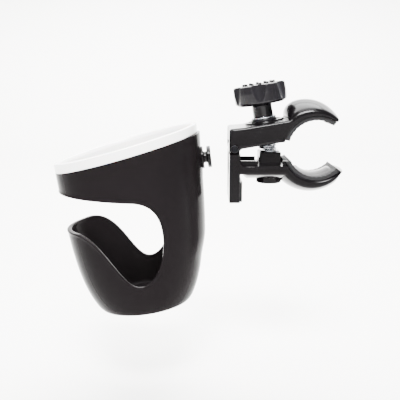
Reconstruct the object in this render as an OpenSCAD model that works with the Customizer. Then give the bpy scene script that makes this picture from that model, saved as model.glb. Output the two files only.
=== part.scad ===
// Cup holder that hooks by a round stud onto a screw clamp for a horizontal bar.
// Origin: centre of the clamped bar. +Y runs along the bar, +Z is up, and the cup
// lies towards -X. The cup is drawn taken off the clamp and leaning away from it,
// with its stud in front of the keyhole.

/* [Clamped bar and pads] */
// Diameter of the bar that the jaws hold
bar_d = 35; // [28:0.5:42]
// Thickness of the rubber pads
pad_t = 3; // [2:0.1:4]
// Width of both jaws along the bar
jaw_w = 36; // [30:0.5:44]

/* [Clamp] */
// Distance from the back of the pads to the hinge pin
throat = 30.6; // [30:0.1:37]
// Angle of the upper jaw above the lower one
open_angle = 9.5; // [3:0.5:14]
// Height of the upper jaw's arm
arm_h = 12.9; // [11:0.1:15.5]
// Distance from the hinge pin to the screw
screw_reach = 22; // [20:0.1:23]
// Diameter of the screw
screw_d = 6; // [5:0.1:6.5]
// Diameter of the rocking barrel nut
nut_d = 10; // [9.5:0.1:10.6]
// Diameter of the hinge pin
pin_d = 3; // [2:0.1:3.2]
// Thickness of the plate with the keyhole
plate_t = 6.8; // [6.8:0.1:8]
// Depth of the plate below the hinge pin
plate_h = 34; // [33:0.5:42]

/* [Knob] */
// Diameter over the lobes of the knob
knob_d = 33.4; // [28:0.2:38]
// Height of the knob's grip
knob_h = 12.4; // [10:0.2:15]
// Number of lobes
lobes = 6; // [5:1:8]
// Length of the stem below the grip
stem_h = 8.2; // [7:0.1:10]
// Diameter of the stem
stem_d = 12.8; // [11:0.1:15]

/* [Stud and keyhole] */
// Diameter of the stud's head
stud_head_d = 14; // [12:0.1:14.2]
// Thickness of the stud's head
stud_head_t = 2.5; // [2:0.1:2.6]
// Diameter of the stud's neck
stud_neck_d = 7.2; // [6:0.1:8]
// Gap between the stud's head and its flange
stud_gap = 2.3; // [2.2:0.1:2.6]
// Height of the stud above the bottom of the cup
stud_z = 91.4; // [84:0.1:93]

/* [Cup] */
// Radius that the wall would have at the bottom without its tuck
side_r = 43.1; // [38:0.1:50]
// Growth of the radius for each millimetre of height
flare = 0.036; // [0.02:0.002:0.06]
// How far the wall tucks in at the bottom
tuck = 12.9; // [9:0.1:16]
// Height over which the tuck fades
tuck_h = 21; // [17:0.5:26]
// Wall of the shell
wall = 2.6; // [2:0.1:3.2]
// Height of the shell's rim on the axis
rim_z = 100.6; // [98:0.1:120]
// Slope of the rim, high at the back
rim_slope = 9.2; // [4:0.2:12]
// Height of the white ring above the shell
ring_h = 6; // [4:0.1:9]
// How far the back of the shell stands proud
spine_out = 1.8; // [1:0.1:3]

/* [Hidden] */
$fn = 96;

slip = 0.2;               // clearance between pieces that only lie together
run = 0.05;               // radial clearance of a running fit
eps = 0.01;

bar_r = bar_d / 2;
seat_r = bar_r + pad_t;   // radius of the jaws behind the pads
hinge_x = -(seat_r + throat);
knuckle_r = plate_t / 2 - 0.1;
knuckle_w = jaw_w * 5 / 9;
shoulder = 1.6;           // drop from the pin's centre to the plate beside its knuckle
arm_w = jaw_w - 0.3;      // width of both arms, a step inside the jaws and the plate
arm_low = -0.9;           // underside of the upper arm, below the hinge pin
arm_top = arm_low + arm_h;
arm_end = -hinge_x - 12;  // the arm runs on into the hook

// Lower jaw
plate_x = hinge_x - 3.1;              // face of the plate towards the cup
arm_z = -10.7;                        // top of the lower arm
arm_edge = 5.2;                       // depth of the lower arm at its edges
crown = 4.6;                          // how much deeper it is in the middle
tower_top = -2.9;
tower_wall = 2;
tower_y = 18;
boss_r = 8.2;
boss_low = -23.4;
cap_t = 1.6;
pad_start = 203.5;                    // angles of the lower pad, from +X towards +Z
pad_end = 318;
hook_start = 54;                      // angles of the upper pad
hook_end = 165;
hook_c = [-4, 4.5];                   // centre of the outside of the hook
hook_edge = 21 + bar_r - 17.5;        // its radius at the edges, and in the middle
hook_crest = 25.2 + bar_r - 17.5;

// Screw stack, measured along the screw from the hinge pin's level
seat_v = 14;              // centre of the dome on which the screw tilts
nut_v = -12;              // centre of the barrel nut
dome_r = 9;
boss_disc_d = 24.4;
back_r = 70;                // hollow in the upper jaw's back
back_dip = 0.7;
boss_disc_top = 13.2;
thrust_t = 1;
stem_v = 15.6;            // underside of the stem
grip_v = stem_v + stem_h;
screw_end = -22;
nut_x = hinge_x + screw_reach * cos(open_angle) - nut_v * sin(open_angle);
nut_z = screw_reach * sin(open_angle) + nut_v * cos(open_angle);
nut_len = 13;
tower_x = nut_x - 0.6;
spring_d = 11.4;
wire_d = 1.1;
coils = 5;

// Keyhole: the head enters at the mouth and drops to the seat
lip_t = stud_gap - 2 * slip;
head_room = stud_head_t + 0.5;
mouth_r = stud_head_d / 2 + 0.6;
mouth_z = -(pin_d / 2 + 1.3 + mouth_r);
mouth_run = 1.4;
seat_z = mouth_z - 12.9;
slot_r = stud_neck_d / 2 + 0.2;
cavity_r = stud_head_d / 2 + 0.5;
cover_top = arm_z - arm_edge - crown - 0.6;
cover_w = jaw_w - 6;
cover_t = 1.5;
cover_screw_y = cover_w / 2 - 3;
cover_screw_z = (cover_top - plate_h) / 2;

// Cup
cup_lean = 6.66;          // lean of the cup in its taken-off place
cup_at = [-108.4, 0, -103.6];
spine_x = radius_at(stud_z) + spine_out;
spine_low = 30;
spine_half = 24;          // half width of the proud back
base_t = 3;
skirt_h = 10;
skirt_t = 1.8;

function radius_at(z) = side_r + flare * z - tuck * exp(-z / tuck_h);
function bezier(a, b, c, d, n) =
    [for (i = [0:n]) let (t = i / n, s = 1 - t)
        s * s * s * a + 3 * s * s * t * b + 3 * s * t * t * c + t * t * t * d];

module at_hinge() { translate([hinge_x, 0, 0]) rotate([0, -open_angle, 0]) children(); }
module on_screw(v = 0) { at_hinge() translate([screw_reach, 0, v]) children(); }
module cup_place() { translate(cup_at) rotate([0, -cup_lean, 0]) children(); }

// A cylinder along Y, centred on [x, z]
module bar(x, z, r, w) { translate([x, w / 2, z]) rotate([90, 0, 0]) cylinder(r = r, h = w); }
// A cylinder along +X that starts at [x, y, z]
module peg(x, y, z, r, h) { translate([x, y, z]) rotate([0, 90, 0]) cylinder(r = r, h = h); }
// An upright slot of radius r that runs through X, between two heights
module slot(x, z_low, z_high, r, h) {
    peg(x, 0, z_low, r, h);
    peg(x, 0, z_high, r, h);
    translate([x, -r, z_low]) cube([h, 2 * r, z_high - z_low]);
}
// A wedge of the XZ plane between two angles, cut through the whole width
module sector(from, to, r, w) {
    rotate([90, 0, 0]) rotate([0, 0, from]) rotate_extrude(angle = to - from)
        translate([0, -w / 2]) square([r, w]);
}
// A jaw's crowned outside: edge radius at its sides, crest radius in the middle
module crowned(edge, crest, w, from, to) {
    sag = crest - edge;
    crown_r = (w * w / 4 + sag * sag) / (2 * sag);
    rotate([90, 0, 0]) rotate([0, 0, from]) rotate_extrude(angle = to - from)
        intersection() {
            translate([0, -w / 2]) square([crest + 1, w]);
            translate([crest - crown_r, 0]) circle(crown_r, $fn = 180);
        }
}
// A rubber pad between two angles
module pad(from, to) {
    difference() {
        sector(from, to, seat_r - run, jaw_w - 3);
        bar(0, 0, bar_r, jaw_w + 2);
    }
}

// ---------------------------------------------------------------- lower jaw
module plate_body() {
    translate([plate_x, -jaw_w / 2, -plate_h])
        cube([plate_t, jaw_w, plate_h - knuckle_r - slip]);
    translate([plate_x, -knuckle_w / 2, -plate_h]) cube([plate_t, knuckle_w, plate_h - shoulder]);
    bar(hinge_x, 0, knuckle_r, knuckle_w);
}
module lower_arm() {
    depth = arm_edge + crown;
    arm_x = plate_x + plate_t;
    crown_r = (arm_w * arm_w / 4 + crown * crown) / (2 * crown);
    intersection() {
        translate([arm_x - 1, -arm_w / 2, arm_z - depth]) cube([-arm_x - 11, arm_w, depth]);
        translate([arm_x - 2, 0, arm_z - depth + crown_r]) rotate([0, 90, 0])
            cylinder(r = crown_r, h = -arm_x, $fn = 180);
    }
    // fillet between the plate and the top of the arm
    difference() {
        translate([arm_x - 1, -arm_w / 2, arm_z - 1]) cube([6, arm_w, 6]);
        bar(arm_x + 5, arm_z + 5, 5, jaw_w + 2);
    }
}
module lower_jaw() {
    color("#1b1a1c") difference() {
        union() {
            plate_body();
            lower_arm();
            translate([-2.5, 0, -2.5]) crowned(seat_r + 1.2, seat_r + 4.6, jaw_w, pad_start, pad_end + 6);
            translate([tower_x - nut_d / 2 - tower_wall, -tower_y / 2, arm_z - 1])
                cube([nut_d + 2 * tower_wall, tower_y, tower_top - arm_z + 1]);
            translate([tower_x, 0, boss_low]) cylinder(r = boss_r, h = arm_z - boss_low);
        }
        bar(0, 0, seat_r, jaw_w + 2);
        sector(pad_end, pad_end + 20, seat_r + 20, jaw_w + 2);
        bar(hinge_x, 0, pin_d / 2, jaw_w + 2);
        keyhole();
        // barrel nut's bore, open at the far side, and the space where the screw swings
        translate([nut_x, tower_y / 2 + eps, nut_z]) rotate([90, 0, 0])
            cylinder(r = nut_d / 2 + run, h = tower_y - 2);
        translate([nut_x, tower_y / 2, nut_z]) rotate([-90, 0, 0])
            cylinder(r = nut_d / 2 + run, h = jaw_w);
        translate([nut_x - screw_d / 2 - 2, -screw_d / 2 - 0.6, nut_z])
            cube([screw_d + 3, screw_d + 1.2, 10]);
        translate([nut_x + 0.2, 0, boss_low - 1]) cylinder(r = 6.1, h = nut_z - boss_low + 1);
        translate([nut_x + 0.2, 0, boss_low - eps]) cylinder(r = 6.7, h = cap_t);
    }
}
module keyhole() {
    slot(plate_x - 1, mouth_z - mouth_run, mouth_z, mouth_r, lip_t + 1 + eps);
    slot(plate_x - 1, seat_z, mouth_z, slot_r, lip_t + 1 + eps);
    slot(plate_x + lip_t, seat_z, mouth_z, cavity_r, head_room);
    // the way in from behind, which the cover's pad fills
    translate([plate_x + lip_t, -cavity_r, seat_z - cavity_r])
        cube([plate_t, 2 * cavity_r, cover_top - 1 - seat_z + cavity_r]);
    for (y = [-cover_screw_y, cover_screw_y])
        peg(plate_x + plate_t - 4.5, y, cover_screw_z, 1.1, 5);
}
module keyhole_cover() {
    back = plate_x + plate_t;
    pad_x = plate_x + lip_t + head_room;
    color("#2a292c") difference() {
        union() {
            translate([back, -cover_w / 2, -plate_h + 0.4])
                cube([cover_t, cover_w, cover_top + plate_h - 0.4]);
            translate([pad_x, -cavity_r + slip, seat_z - cavity_r + slip])
                cube([back - pad_x + eps, 2 * (cavity_r - slip),
                    cover_top - 1 - seat_z + cavity_r - 2 * slip]);
        }
        for (y = [-cover_screw_y, cover_screw_y]) {
            peg(back - 1, y, cover_screw_z, 1.3, 4);
            translate([back + cover_t - 1.1, y, cover_screw_z]) rotate([0, 90, 0])
                cylinder(r1 = 1.3, r2 = 2.5, h = 1.2);
        }
    }
}
module cover_screws() {
    back = plate_x + plate_t;
    color("#9a9ca0") for (y = [-cover_screw_y, cover_screw_y]) difference() {
        union() {
            peg(back - 4, y, cover_screw_z, 1.1, 4 + cover_t - 1);
            translate([back + cover_t - 1.1, y, cover_screw_z]) rotate([0, 90, 0])
                cylinder(r1 = 1.2, r2 = 2.3, h = 1.1);
        }
        translate([back + cover_t - 0.5, y, cover_screw_z]) {
            translate([0, -1.6, -0.25]) cube([1, 3.2, 0.5]);
            translate([0, -0.25, -1.6]) cube([1, 0.5, 3.2]);
        }
    }
}
module lower_pad() { color("#161517") pad(pad_start, pad_end); }

// ------------------------------------------------------------------- hinge
module hinge_pin() {
    color("#b9bbbf") {
        bar(hinge_x, 0, pin_d / 2 - run, jaw_w + 0.2);
        translate([0, -jaw_w / 2 - 0.7, 0]) bar(hinge_x, 0, 2.3, 1.2);
    }
}
module hinge_clip() {
    color("#8d8f93") translate([0, jaw_w / 2 + 0.1 + 0.4, 0]) difference() {
        bar(hinge_x, 0, 2.6, 0.8);
        bar(hinge_x, 0, pin_d / 2 - run, 2);
    }
}

// --------------------------------------------------------------- upper jaw
module upper_arm() {
    // side outline of the arm: block over the hinge, then the straight arm
    at_hinge() rotate([90, 0, 0]) translate([0, 0, -arm_w / 2]) linear_extrude(arm_w) {
        circle(knuckle_r);
        polygon([[-knuckle_r, 0], [-knuckle_r + 2.1, arm_top + 0.2], [-knuckle_r + 3.4, arm_top + 0.6],
            [8, arm_top], [arm_end, arm_top], [arm_end, arm_low],
            [knuckle_r, arm_low], [0, -knuckle_r + 0.4]]);
    }
}
module upper_jaw() {
    color("#1b1a1c") difference() {
        union() {
            difference() {
                upper_arm();
                bar(0, 0, seat_r, jaw_w + 2);
            }
            translate([hook_c[0], 0, hook_c[1]])
                crowned(hook_edge, hook_crest, jaw_w, hook_start - 16, 138);
            on_screw(arm_top - 1) cylinder(d = boss_disc_d, h = boss_disc_top - arm_top + 1);
        }
        bar(0, 0, seat_r, jaw_w + 2);
        sector(hook_start - 50, hook_start, seat_r + 20, jaw_w + 2);
        // room for the lower jaw's knuckle and plate
        bar(hinge_x, 0, knuckle_r + 0.3, knuckle_w + 2 * slip);
        translate([hinge_x - 8, -knuckle_w / 2 - slip, -6])
            cube([8 + knuckle_r, knuckle_w + 2 * slip, 6]);
        bar(hinge_x, 0, pin_d / 2, jaw_w + 2);
        // shallow hollow down the back, which clears the cup's round wall at the widest opening
        translate([hinge_x - knuckle_r - back_r + back_dip, 0, -5])
            cylinder(r = back_r, h = arm_h + 15, $fn = 360);
        // dome seat, tilting hole for the screw, and the spring's pocket
        on_screw(seat_v) sphere(r = dome_r + 0.05, $fn = 128);
        on_screw(seat_v + 0.2) cylinder(d = boss_disc_d - 4, h = 10);
        on_screw(arm_low - 3) cylinder(d = screw_d + 2.4, h = 30);
        on_screw(arm_low - 8) cylinder(d = spring_d + 3, h = 10.5);
    }
}
module upper_pad() { color("#161517") pad(hook_start, hook_end); }

// -------------------------------------------------------- screw and its seat
// The dome turns on a ball centre on the screw, so its seat and the screw tilt together.
module dome_washer() {
    color("#2b2a2d") on_screw() difference() {
        intersection() {
            translate([0, 0, seat_v]) sphere(r = dome_r, $fn = 128);
            translate([0, 0, seat_v - 5.2]) cylinder(d = 16.2, h = stem_v - thrust_t - seat_v + 5.2);
        }
        translate([0, 0, -5]) cylinder(d = screw_d + 0.6, h = 40);
    }
}
module thrust_washer() {
    color("#c4c6ca") on_screw(stem_v - thrust_t) difference() {
        cylinder(d = 15.4, h = thrust_t);
        translate([0, 0, -1]) cylinder(d = screw_d + 0.5, h = 4);
    }
}
module knob() {
    color("#141315") on_screw(grip_v) difference() {
        union() {
            intersection() {
                cylinder(d = knob_d, h = knob_h);
                translate([0, 0, knob_h / 2 + 1]) sphere(r = knob_d / 2 + 1.9, $fn = 128);
            }
            translate([0, 0, -stem_h]) cylinder(d = stem_d, h = stem_h + 1);
        }
        // flutes between the lobes, deeper at the top than at the bottom
        for (i = [0:lobes - 1]) rotate([0, 0, (i + 0.5) * 360 / lobes - 66])
            translate([knob_d / 2 + 4.4, 0, -1]) rotate([0, -6, 0])
                cylinder(r1 = 5.2, r2 = 6.8, h = knob_h + 4);
        translate([0, 0, knob_h - 1.2]) cylinder(d = knob_d - 9, h = 2);
        translate([0, 0, -stem_h - 1]) cylinder(d = screw_d, h = stem_h + 7);
    }
}
module knob_cap() {
    color("#1d1c1f") on_screw(grip_v + knob_h - 1.2) {
        cylinder(d = knob_d - 9 - 2 * run, h = 1.2);
        for (i = [0:11]) rotate([0, 0, i * 30]) translate([knob_d / 2 - 7.2, 0, 1.1])
            cylinder(d = 2, h = 1.4, $fn = 24);
    }
}
module clamp_screw() {
    color("#b4b6ba") on_screw(screw_end) cylinder(d = screw_d, h = grip_v + 5 - screw_end);
}
module stop_ring() {
    color("#8d8f93") on_screw(screw_end + 0.3) difference() {
        cylinder(d = screw_d + 1.8, h = 0.9);
        translate([0, 0, -1]) cylinder(d = screw_d, h = 3);
    }
}
module rocking_nut() {
    color("#a7a9ae") difference() {
        bar(nut_x, nut_z, nut_d / 2, nut_len);
        on_screw(nut_v - 10) cylinder(d = screw_d + 2 * run, h = 20);
    }
}
module nut_cap() {
    color("#171619") translate([nut_x + 0.2, 0, boss_low])
        cylinder(r = 6.7 - run, h = cap_t - slip);
}

// The spring bends round the hinge pin: every ring lies on a circle about the pin,
// and the end rings close up on the one before.
spring_low = atan((tower_top + 1.7) / screw_reach);
spring_high = open_angle + atan((arm_low + 2.4 - wire_d) / screw_reach);
function spring_rise(t) = t < 1 ? 0.1 * t : t > coils - 1 ? 1 - 0.1 * (coils - t)
    : 0.1 + 0.8 * (t - 1) / (coils - 2);
function spring_ring(t, sides) = let (
        turn = 360 * t,
        up = spring_low + (spring_high - spring_low) * spring_rise(t))
    [for (k = [0:sides - 1]) let (
        a = 360 * k / sides,
        reach = spring_d / 2 - wire_d / 2 + wire_d / 2 * cos(a),
        d = screw_reach + reach * cos(turn),
        lift = wire_d / 2 * sin(a))
        [hinge_x + d * cos(up) - lift * sin(up), reach * sin(turn), d * sin(up) + lift * cos(up)]];
module spring() {
    sides = 8;
    rings = 26 * coils;
    points = [for (i = [0:rings]) each spring_ring(i / 26, sides)];
    walls = [for (i = [0:rings - 1], k = [0:sides - 1]) let (n = (k + 1) % sides)
        [i * sides + k, i * sides + n, (i + 1) * sides + n, (i + 1) * sides + k]];
    color("#c8cacd") polyhedron(points, concat(
        [[for (k = [0:sides - 1]) sides - 1 - k]],
        walls,
        [[for (k = [0:sides - 1]) rings * sides + k]]), convexity = 8);
}
module spring_seat() {
    color("#b4b6ba") translate([nut_x - 0.4, 0, tower_top]) difference() {
        cylinder(d = 12.6, h = 0.6);
        translate([0, 0, -1]) cylinder(d = 9, h = 3);
    }
}

// --------------------------------------------------------------------- cup
steps = 40;
cup_top = 125;
heights = [for (i = [0:steps]) cup_top * pow(i / steps, 1.5)];
// Solid of revolution inside the wall, inset by a wall thickness
module body_of(inset, low = 0) {
    rotate_extrude($fn = 180) polygon(concat([[0, low]],
        [for (z = heights) if (z >= low) [radius_at(z) - inset, z]], [[0, cup_top]]));
}
// Everything below the sloping rim plane raised by h
module below_rim(h) {
    translate([0, 0, rim_z + h]) rotate([0, -rim_slope, 0]) translate([-90, -90, -200])
        cube([180, 180, 200]);
}
// Side view of the window: the scoop's lip, the valley, the spine and the upper band
module window_outline() {
    lip = bezier([-37, 56.4], [-16, 58], [-10, 21], [2.5, 21], 16);
    rise = bezier([2.5, 21], [9.5, 21], [17, 30], [19.4, 46], 10);
    corner = bezier([19.4, 46], [20.3, 56], [20.6, 72.3], [3, 74.6], 14);
    band = bezier([3, 74.6], [-12, 77], [-30, 79.8], [-60, 82.4], 8);
    polygon(concat([[-60, 56.8]], lip, rise, corner, band));
}
module cup_shell() {
    color("#1a191b") cup_place() difference() {
        intersection() {
            union() {
                body_of(0);
                // the proud back that carries the stud
                intersection() {
                    body_of(-spine_out);
                    translate([0, -spine_half, spine_low]) cube([60, 2 * spine_half, 100]);
                }
            }
            below_rim(0);
        }
        body_of(wall, base_t);
        rotate([90, 0, 0]) translate([0, 0, -60]) linear_extrude(120) window_outline();
        // flat seat and hole for the stud, and the nut's recess inside
        peg(spine_x - 0.1, 0, stud_z, stud_head_d / 2 + 0.8, 5);
        peg(30, 0, stud_z, 2.05, 30);
        peg(30, 0, stud_z, 6, spine_x - 32.6);
    }
}
module rim_ring() {
    color("#f2f2f0") cup_place() {
        difference() {
            intersection() {
                body_of(0);
                below_rim(ring_h);
            }
            below_rim(0);
            body_of(wall + skirt_t, 10);
        }
        // skirt that grips the inside of the shell
        difference() {
            intersection() {
                body_of(wall + 0.1);
                below_rim(eps);
            }
            below_rim(-skirt_h);
            body_of(wall + skirt_t, 10);
        }
    }
}
// The stud is a spool that turns on its shoulder screw
module stud() {
    x0 = spine_x - 0.1;
    flange_t = 1.3;
    neck_x = x0 + flange_t;
    head_x = neck_x + stud_gap;
    color("#101011") cup_place() difference() {
        union() {
            peg(x0 + eps, 0, stud_z, stud_head_d / 2 + 0.2, flange_t - eps);
            peg(neck_x - eps, 0, stud_z, stud_neck_d / 2, stud_gap + 2 * eps);
            peg(head_x, 0, stud_z, stud_head_d / 2, stud_head_t);
        }
        peg(x0 - 1, 0, stud_z, 2 + run, 10);
        peg(head_x + stud_head_t - 1.6, 0, stud_z, 3.6 + run, 5);
    }
}
module stud_screw() {
    head_x = spine_x - 0.1 + 1.3 + stud_gap + stud_head_t - 1.6;
    color("#a7a9ae") cup_place() difference() {
        union() {
            peg(spine_x - 6.2, 0, stud_z, 2, head_x - spine_x + 6.4);
            peg(head_x + 0.05, 0, stud_z, 3.6, 1.4);
        }
        translate([head_x + 0.75, 0, stud_z]) rotate([0, 90, 0]) cylinder(d = 3, h = 3, $fn = 6);
    }
}
module stud_washer() {
    color("#b4b6ba") cup_place() difference() {
        peg(spine_x - 3.3, 0, stud_z, 5.6, 0.7);
        peg(spine_x - 5, 0, stud_z, 2.05, 5);
    }
}
module stud_nut() {
    color("#a7a9ae") cup_place() difference() {
        translate([spine_x - 5.7, 0, stud_z]) rotate([0, 90, 0]) cylinder(d = 8, h = 2.4, $fn = 6);
        peg(spine_x - 8, 0, stud_z, 2, 6);
    }
}

cup_shell();
rim_ring();
stud();
stud_screw();
stud_washer();
stud_nut();
lower_jaw();
lower_pad();
keyhole_cover();
cover_screws();
hinge_pin();
hinge_clip();
upper_jaw();
upper_pad();
dome_washer();
thrust_washer();
knob();
knob_cap();
clamp_screw();
stop_ring();
rocking_nut();
nut_cap();
spring();
spring_seat();
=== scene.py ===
"""Cup holder that hooks by a stud onto a screw clamp, shown unhooked beside the clamp.

Lengths are in millimetres until a mesh is written, which turns them into metres. The frame is
the CAD's: the clamped bar's centre is the origin, +Y runs along the bar and +Z is up.
"""
import logging
import math
from collections.abc import Callable, Iterable, Sequence
from dataclasses import dataclass
from enum import Enum

import bmesh
import bpy
import numpy as np
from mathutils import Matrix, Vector


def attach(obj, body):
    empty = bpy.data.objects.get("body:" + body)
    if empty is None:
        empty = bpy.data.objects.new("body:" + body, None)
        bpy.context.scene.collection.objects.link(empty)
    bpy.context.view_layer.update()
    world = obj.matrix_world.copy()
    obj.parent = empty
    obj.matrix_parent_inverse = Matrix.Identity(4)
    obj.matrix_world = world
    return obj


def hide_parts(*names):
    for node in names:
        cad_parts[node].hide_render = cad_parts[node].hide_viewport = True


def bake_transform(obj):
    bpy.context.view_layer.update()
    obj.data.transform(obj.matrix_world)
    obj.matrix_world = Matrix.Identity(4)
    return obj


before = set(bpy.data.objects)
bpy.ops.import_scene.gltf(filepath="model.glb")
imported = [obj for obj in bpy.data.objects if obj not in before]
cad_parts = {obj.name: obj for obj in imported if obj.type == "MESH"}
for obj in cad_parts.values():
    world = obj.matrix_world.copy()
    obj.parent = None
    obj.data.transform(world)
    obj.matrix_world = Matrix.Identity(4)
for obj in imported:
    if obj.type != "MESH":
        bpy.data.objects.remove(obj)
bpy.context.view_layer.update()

MM = 0.001  # metres in a millimetre
Corners = Sequence[tuple[float, float, float]]
log = logging.getLogger("cup_holder")


# ---------------------------------------------------------------- small maths
def linear(hex_colour: str) -> tuple[float, float, float, float]:
    """Turns an sRGB hex value into linear colour.

    Args:
        hex_colour: six hex digits after a hash sign.

    Returns:
        Linear red, green, blue and an alpha of one.
    """
    raw = np.array([int(hex_colour[i:i + 2], 16) / 255 for i in (1, 3, 5)])
    low, high = raw / 12.92, ((raw + 0.055) / 1.055) ** 2.4
    return (*np.where(raw <= 0.04045, low, high).tolist(), 1.0)


def ease(x: np.ndarray | float) -> np.ndarray:
    """Smooth step: 3x^2 - 2x^3 between 0 and 1, held outside."""
    t = np.clip(x, 0.0, 1.0)
    return t * t * (3 - 2 * t)


def bezier(a: Sequence[float], b: Sequence[float], c: Sequence[float],
           d: Sequence[float], count: int) -> np.ndarray:
    """Points of a cubic curve, without its last one.

    Args:
        a: start of the curve.
        b: first handle.
        c: second handle.
        d: end of the curve.
        count: number of points.

    Returns:
        Array of count rows.
    """
    t = np.linspace(0, 1, count, endpoint=False)[:, None]
    a, b, c, d = map(np.asarray, (a, b, c, d))
    return (1 - t) ** 3 * a + 3 * (1 - t) ** 2 * t * b + 3 * (1 - t) * t ** 2 * c + t ** 3 * d


def arc(cx: float, cz: float, r: float, start: float, end: float, step: float = 2.5) -> np.ndarray:
    """Points of a circle in the XZ plane.

    Args:
        cx: centre along X.
        cz: centre along Z.
        r: radius.
        start: first angle in degrees, from +X towards +Z.
        end: last angle in degrees.
        step: largest step in degrees.

    Returns:
        Array of points, both ends included.
    """
    a = np.radians(np.linspace(start, end, max(2, int(abs(end - start) / step) + 2)))
    return np.stack([cx + r * np.cos(a), cz + r * np.sin(a)], 1)


def bearing(point: np.ndarray, centre: np.ndarray | float = 0.0) -> float:
    """Direction in degrees in which a point of the XZ plane lies from a centre."""
    return math.degrees(math.atan2(*(point - centre)[::-1]))


def around(steps: int) -> np.ndarray:
    """Angles of one full turn in even steps, as a column."""
    return np.linspace(0, 2 * math.pi, steps, endpoint=False)[:, None]


def polar(r: np.ndarray, a: np.ndarray, h: np.ndarray) -> np.ndarray:
    """Points (r cos a, r sin a, h), with the three arrays spread over one grid."""
    return np.stack(np.broadcast_arrays(r * np.cos(a), r * np.sin(a), h), -1)


def along(points: np.ndarray, closed: bool = False) -> np.ndarray:
    """Length along a line of points, starting at 0; a closed one also counts its last side."""
    line = np.vstack([points, points[:1]]) if closed else points
    return np.concatenate([[0.0], np.cumsum(np.linalg.norm(np.diff(line, axis=0), axis=1))])


def resample(points: np.ndarray, count: int) -> np.ndarray:
    """The same open line with evenly spaced points.

    Args:
        points: points of the line, one a row.
        count: number of points wanted.

    Returns:
        Array of count rows.
    """
    s = along(points)
    even = np.linspace(0, s[-1], count)
    return np.stack([np.interp(even, s, points[:, k]) for k in range(points.shape[1])], 1)


def filleted(corners: Corners, closed: bool = True, steps: int = 5) -> np.ndarray:
    """A polygon with each corner rounded by its own radius.

    The arc is a quadratic curve between the two points that lie a tangent's length from the
    corner, which is within a hundredth of a millimetre of a circle at these radii. It takes
    less than half of each side it touches.

    Args:
        corners: x, z and radius of each corner, in order.
        closed: whether the last corner joins the first.
        steps: points on each arc, less one.

    Returns:
        Array of points.
    """
    share = 0.49
    c = np.array(corners, float)
    p, r, out = c[:, :2], c[:, 2], []
    for i in range(len(p)):
        if not closed and i in (0, len(p) - 1) or r[i] <= 0:
            out.append(p[i:i + 1])
            continue
        a, b = p[i - 1] - p[i], p[(i + 1) % len(p)] - p[i]
        la, lb = np.linalg.norm(a), np.linalg.norm(b)
        a, b = a / la, b / lb
        half = math.acos(float(np.clip(a @ b, -1, 1))) / 2
        reach = min(r[i] / math.tan(max(half, 1e-3)), share * la, share * lb)
        t = np.linspace(0, 1, steps + 1)[:, None]
        out.append((1 - t) ** 2 * (p[i] + a * reach) + 2 * (1 - t) * t * p[i]
                   + t ** 2 * (p[i] + b * reach))
    return np.vstack(out)


def side_normals(points: np.ndarray, closed: bool = True) -> np.ndarray:
    """Unit normals to the right of a line of points in a plane.

    Args:
        points: array of points, two numbers each.
        closed: whether the last point joins the first.

    Returns:
        Array of unit vectors, outward for an anticlockwise loop.
    """
    if closed:
        d = np.roll(points, -1, 0) - np.roll(points, 1, 0)
    else:
        d = np.gradient(points, axis=0)
    n = np.stack([d[:, 1], -d[:, 0]], 1)
    return n / np.maximum(np.linalg.norm(n, axis=1, keepdims=True), 1e-9)


@dataclass(frozen=True)
class Place:
    """A lean about the Y axis and a point: where a sub-assembly's own frame stands.

    Attributes:
        at: origin of the sub-assembly.
        degrees: how far its upright leans towards -X.
        shift: offset inside the leaning frame.
    """

    at: tuple[float, float, float] = (0.0, 0.0, 0.0)
    degrees: float = 0.0
    shift: tuple[float, float, float] = (0.0, 0.0, 0.0)

    def __call__(self, p: np.ndarray) -> np.ndarray:
        """Carries points from the sub-assembly's frame into the object's.

        Args:
            p: points in the sub-assembly's frame.

        Returns:
            The same points in the object's frame.
        """
        c, s = math.cos(math.radians(self.degrees)), math.sin(math.radians(self.degrees))
        q = p + np.array(self.shift)
        return np.stack([self.at[0] + c * q[..., 0] - s * q[..., 2], self.at[1] + q[..., 1],
                         self.at[2] + s * q[..., 0] + c * q[..., 2]], -1)


PIN_X = -51.1      # the hinge pin's axis
JAW_LEAN = 9.5     # degrees by which the upper jaw stands open at rest
SCREW_OUT = 22.0   # from the pin to the screw's axis, along the upper jaw

OBJECT = Place()
HINGE = Place((PIN_X, 0, 0), JAW_LEAN)
SCREW = Place((PIN_X, 0, 0), JAW_LEAN, (SCREW_OUT, 0, 0))
CUP = Place((-108.4, 0, -103.6), 6.66)


class Axis(Enum):
    """The line that a turned piece is turned about, in its own frame."""

    X = (2, 1, 0)
    Y = (0, 2, 1)
    Z = (0, 1, 2)


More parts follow.
